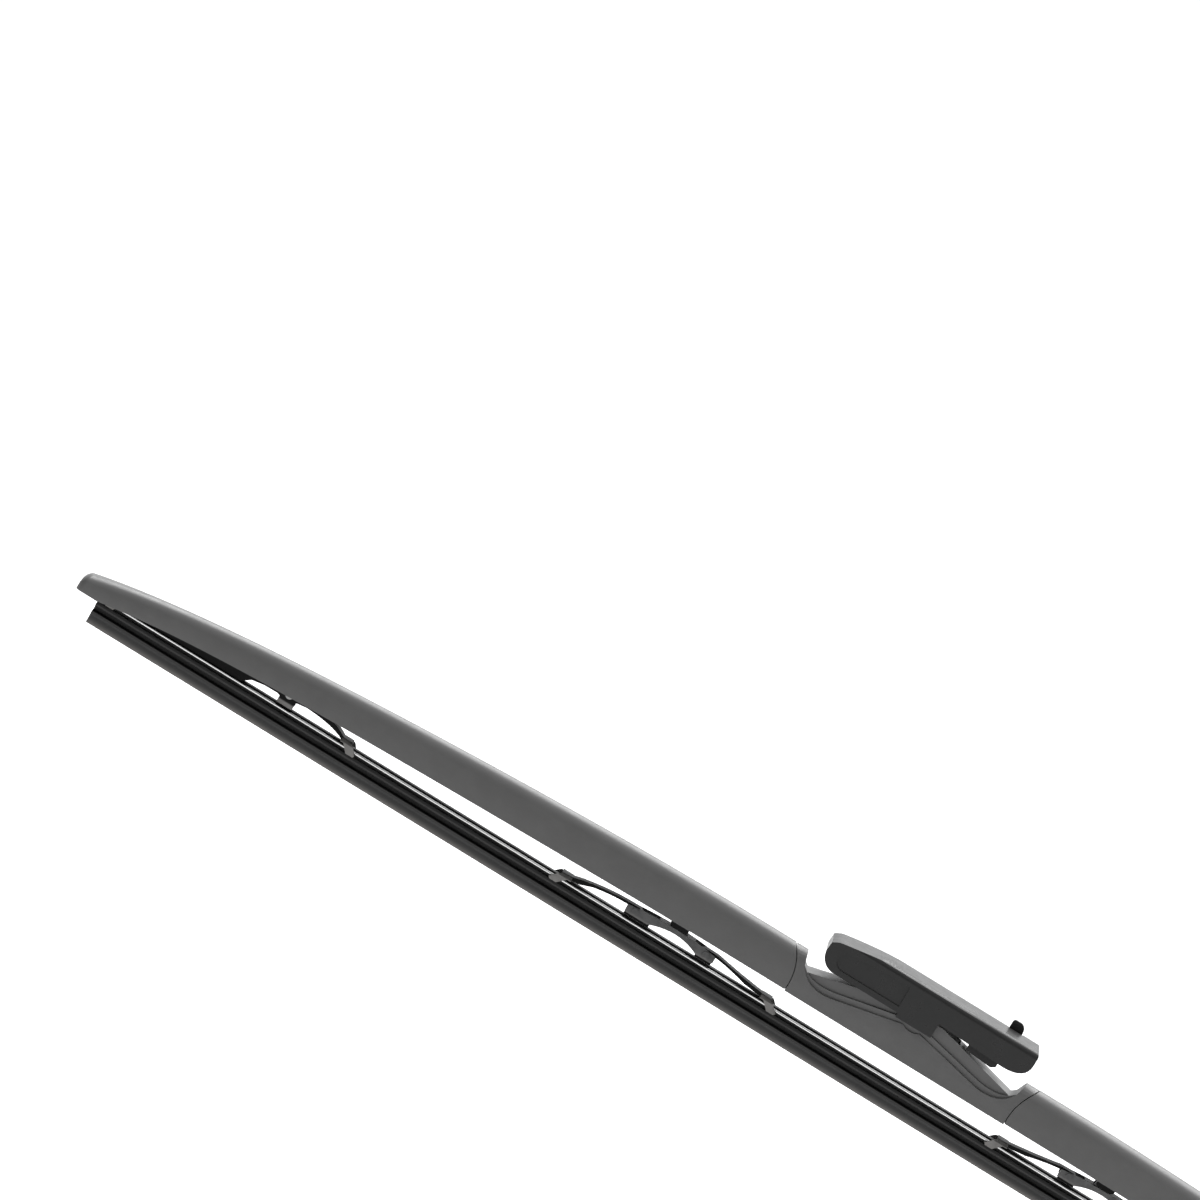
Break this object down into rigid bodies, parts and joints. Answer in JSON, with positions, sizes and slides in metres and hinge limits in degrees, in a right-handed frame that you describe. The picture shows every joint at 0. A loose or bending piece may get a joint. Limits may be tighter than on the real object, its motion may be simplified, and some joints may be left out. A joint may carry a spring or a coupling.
{
  "type": "windshield wiper blade",
  "caption": "Windshield wiper blade with hinged aerodynamic covers over a steel lever frame, a rubber wiping strip between two flexors, and a capped connector for a hook-end wiper arm.",
  "frame": {"origin": "centre of the arm pivot, in the middle of the barrel that the hook wraps round", "axes": "+X along the blade towards the end where the arm comes in, +Y along the pivot towards the sloped side of the covers, +Z away from the glass"},
  "size_m": [0.6266, 0.0188, 0.048],
  "materials": {
    "cover_plastic": "fine matt grain, mid-grey black",
    "cap_plastic": "satin black with moulding grain",
    "adapter_plastic": "black glass-filled nylon",
    "washer_plastic": "dark acetal",
    "black_steel": "black powder coat over stamped steel",
    "lever_steel": "grey-black powder coat",
    "zinc_steel": "zinc plated",
    "stainless": "bright rolled strip",
    "wiping_rubber": "graphite-coated rubber"
  },
  "bodies": {
    "adapter": {"adapter_base": "adapter_plastic", "cap_hinge_pin": "zinc_steel"},
    "cap": {"adapter_cap": "cap_plastic"},
    "release": {"release_tab": "cap_plastic"},
    "bridge": {"bridge": "cover_plastic", "pivot_pin": "zinc_steel", "rubber_blade": "wiping_rubber", "flexor_front": "stainless", "flexor_back": "stainless"},
    "cover_left_body": {"cover_left": "cover_plastic", "cover_clips_left": "adapter_plastic", "carrier_left": "black_steel", "hinge_pin_left": "zinc_steel", "outer_pin_left": "zinc_steel", "mid_pin_left": "zinc_steel", "washers_left": "washer_plastic"},
    "outer_yoke_left_body": {"outer_yoke_left": "black_steel"},
    "mid_lever_left_body": {"mid_lever_left": "lever_steel", "lever_pins_left": "lever_steel"},
    "mid_yoke_outer_left_body": {"mid_yoke_outer_left": "black_steel"},
    "mid_yoke_inner_left_body": {"mid_yoke_inner_left": "black_steel"},
    "cover_right_body": {"cover_right": "cover_plastic", "cover_clips_right": "adapter_plastic", "carrier_right": "black_steel", "hinge_pin_right": "zinc_steel", "outer_pin_right": "zinc_steel", "mid_pin_right": "zinc_steel", "washers_right": "washer_plastic"},
    "outer_yoke_right_body": {"outer_yoke_right": "black_steel"},
    "mid_lever_right_body": {"mid_lever_right": "lever_steel", "lever_pins_right": "lever_steel"},
    "mid_yoke_outer_right_body": {"mid_yoke_outer_right": "black_steel"},
    "mid_yoke_inner_right_body": {"mid_yoke_inner_right": "black_steel"}
  },
  "joints": [
    {"name": "bridge_rock", "type": "hinge", "parent": "adapter", "child": "bridge", "pos_m": [0, 0, 0], "axis": [0, 1, 0], "range_deg": [-7, 4]},
    {"name": "cap_open", "type": "hinge", "parent": "adapter", "child": "cap", "pos_m": [-0.0319, 0, 0.0048], "axis": [0, -1, 0], "range_deg": [0, 75]},
    {"name": "release_press", "type": "hinge", "parent": "cap", "child": "release", "pos_m": [0.031, 0.0086, 0.0077], "axis": [1, 0, 0], "range_deg": [0, 7], "stiffness_Nm_per_rad": 0.3},
    {"name": "cover_flex_left", "type": "hinge", "parent": "bridge", "child": "cover_left_body", "pos_m": [-0.062, 0, -0.0124], "axis": [0, -1, 0], "range_deg": [-1, 3.5], "stiffness_Nm_per_rad": 1.5, "springref_deg": -2.46, "deforming": ["rubber_blade", "flexor_front", "flexor_back"]},
    {"name": "outer_yoke_tilt_left", "type": "hinge", "parent": "cover_left_body", "child": "outer_yoke_left_body", "pos_m": [-0.234, 0, -0.0176], "axis": [0, -1, 0], "range_deg": [-0.7, 2.2]},
    {"name": "mid_lever_tilt_left", "type": "hinge", "parent": "cover_left_body", "child": "mid_lever_left_body", "pos_m": [-0.0822, 0, -0.0137], "axis": [0, -1, 0], "range_deg": [-1.5, 0.5]},
    {"name": "mid_yoke_outer_tilt_left", "type": "hinge", "parent": "mid_lever_left_body", "child": "mid_yoke_outer_left_body", "pos_m": [-0.0985, 0, -0.0194], "axis": [0, -1, 0], "range_deg": [-0.6, 2.1]},
    {"name": "mid_yoke_inner_tilt_left", "type": "hinge", "parent": "mid_lever_left_body", "child": "mid_yoke_inner_left_body", "pos_m": [-0.0708, 0, -0.0194], "axis": [0, -1, 0], "range_deg": [-1.3, 0.5]},
    {"name": "cover_flex_right", "type": "hinge", "parent": "bridge", "child": "cover_right_body", "pos_m": [0.062, 0, -0.0124], "axis": [0, 1, 0], "range_deg": [-1, 3.5], "stiffness_Nm_per_rad": 1.5, "springref_deg": -2.46, "deforming": ["rubber_blade", "flexor_front", "flexor_back"]},
    {"name": "outer_yoke_tilt_right", "type": "hinge", "parent": "cover_right_body", "child": "outer_yoke_right_body", "pos_m": [0.234, 0, -0.0176], "axis": [0, 1, 0], "range_deg": [-0.7, 2.2]},
    {"name": "mid_lever_tilt_right", "type": "hinge", "parent": "cover_right_body", "child": "mid_lever_right_body", "pos_m": [0.0822, 0, -0.0137], "axis": [0, 1, 0], "range_deg": [-1.5, 0.5]},
    {"name": "mid_yoke_outer_tilt_right", "type": "hinge", "parent": "mid_lever_right_body", "child": "mid_yoke_outer_right_body", "pos_m": [0.0985, 0, -0.0194], "axis": [0, 1, 0], "range_deg": [-0.6, 2.1]},
    {"name": "mid_yoke_inner_tilt_right", "type": "hinge", "parent": "mid_lever_right_body", "child": "mid_yoke_inner_right_body", "pos_m": [0.0708, 0, -0.0194], "axis": [0, 1, 0], "range_deg": [-1.3, 0.5]}
  ],
  "couplings": [
    {"joint": "outer_yoke_tilt_left", "follows": "cover_flex_left", "ratio": 0.6},
    {"joint": "mid_lever_tilt_left", "follows": "cover_flex_left", "ratio": -0.35},
    {"joint": "mid_yoke_outer_tilt_left", "follows": "cover_flex_left", "ratio": 0.55},
    {"joint": "mid_yoke_inner_tilt_left", "follows": "cover_flex_left", "ratio": -0.34},
    {"joint": "outer_yoke_tilt_right", "follows": "cover_flex_right", "ratio": 0.6},
    {"joint": "mid_lever_tilt_right", "follows": "cover_flex_right", "ratio": -0.35},
    {"joint": "mid_yoke_outer_tilt_right", "follows": "cover_flex_right", "ratio": 0.55},
    {"joint": "mid_yoke_inner_tilt_right", "follows": "cover_flex_right", "ratio": -0.34}
  ]
}
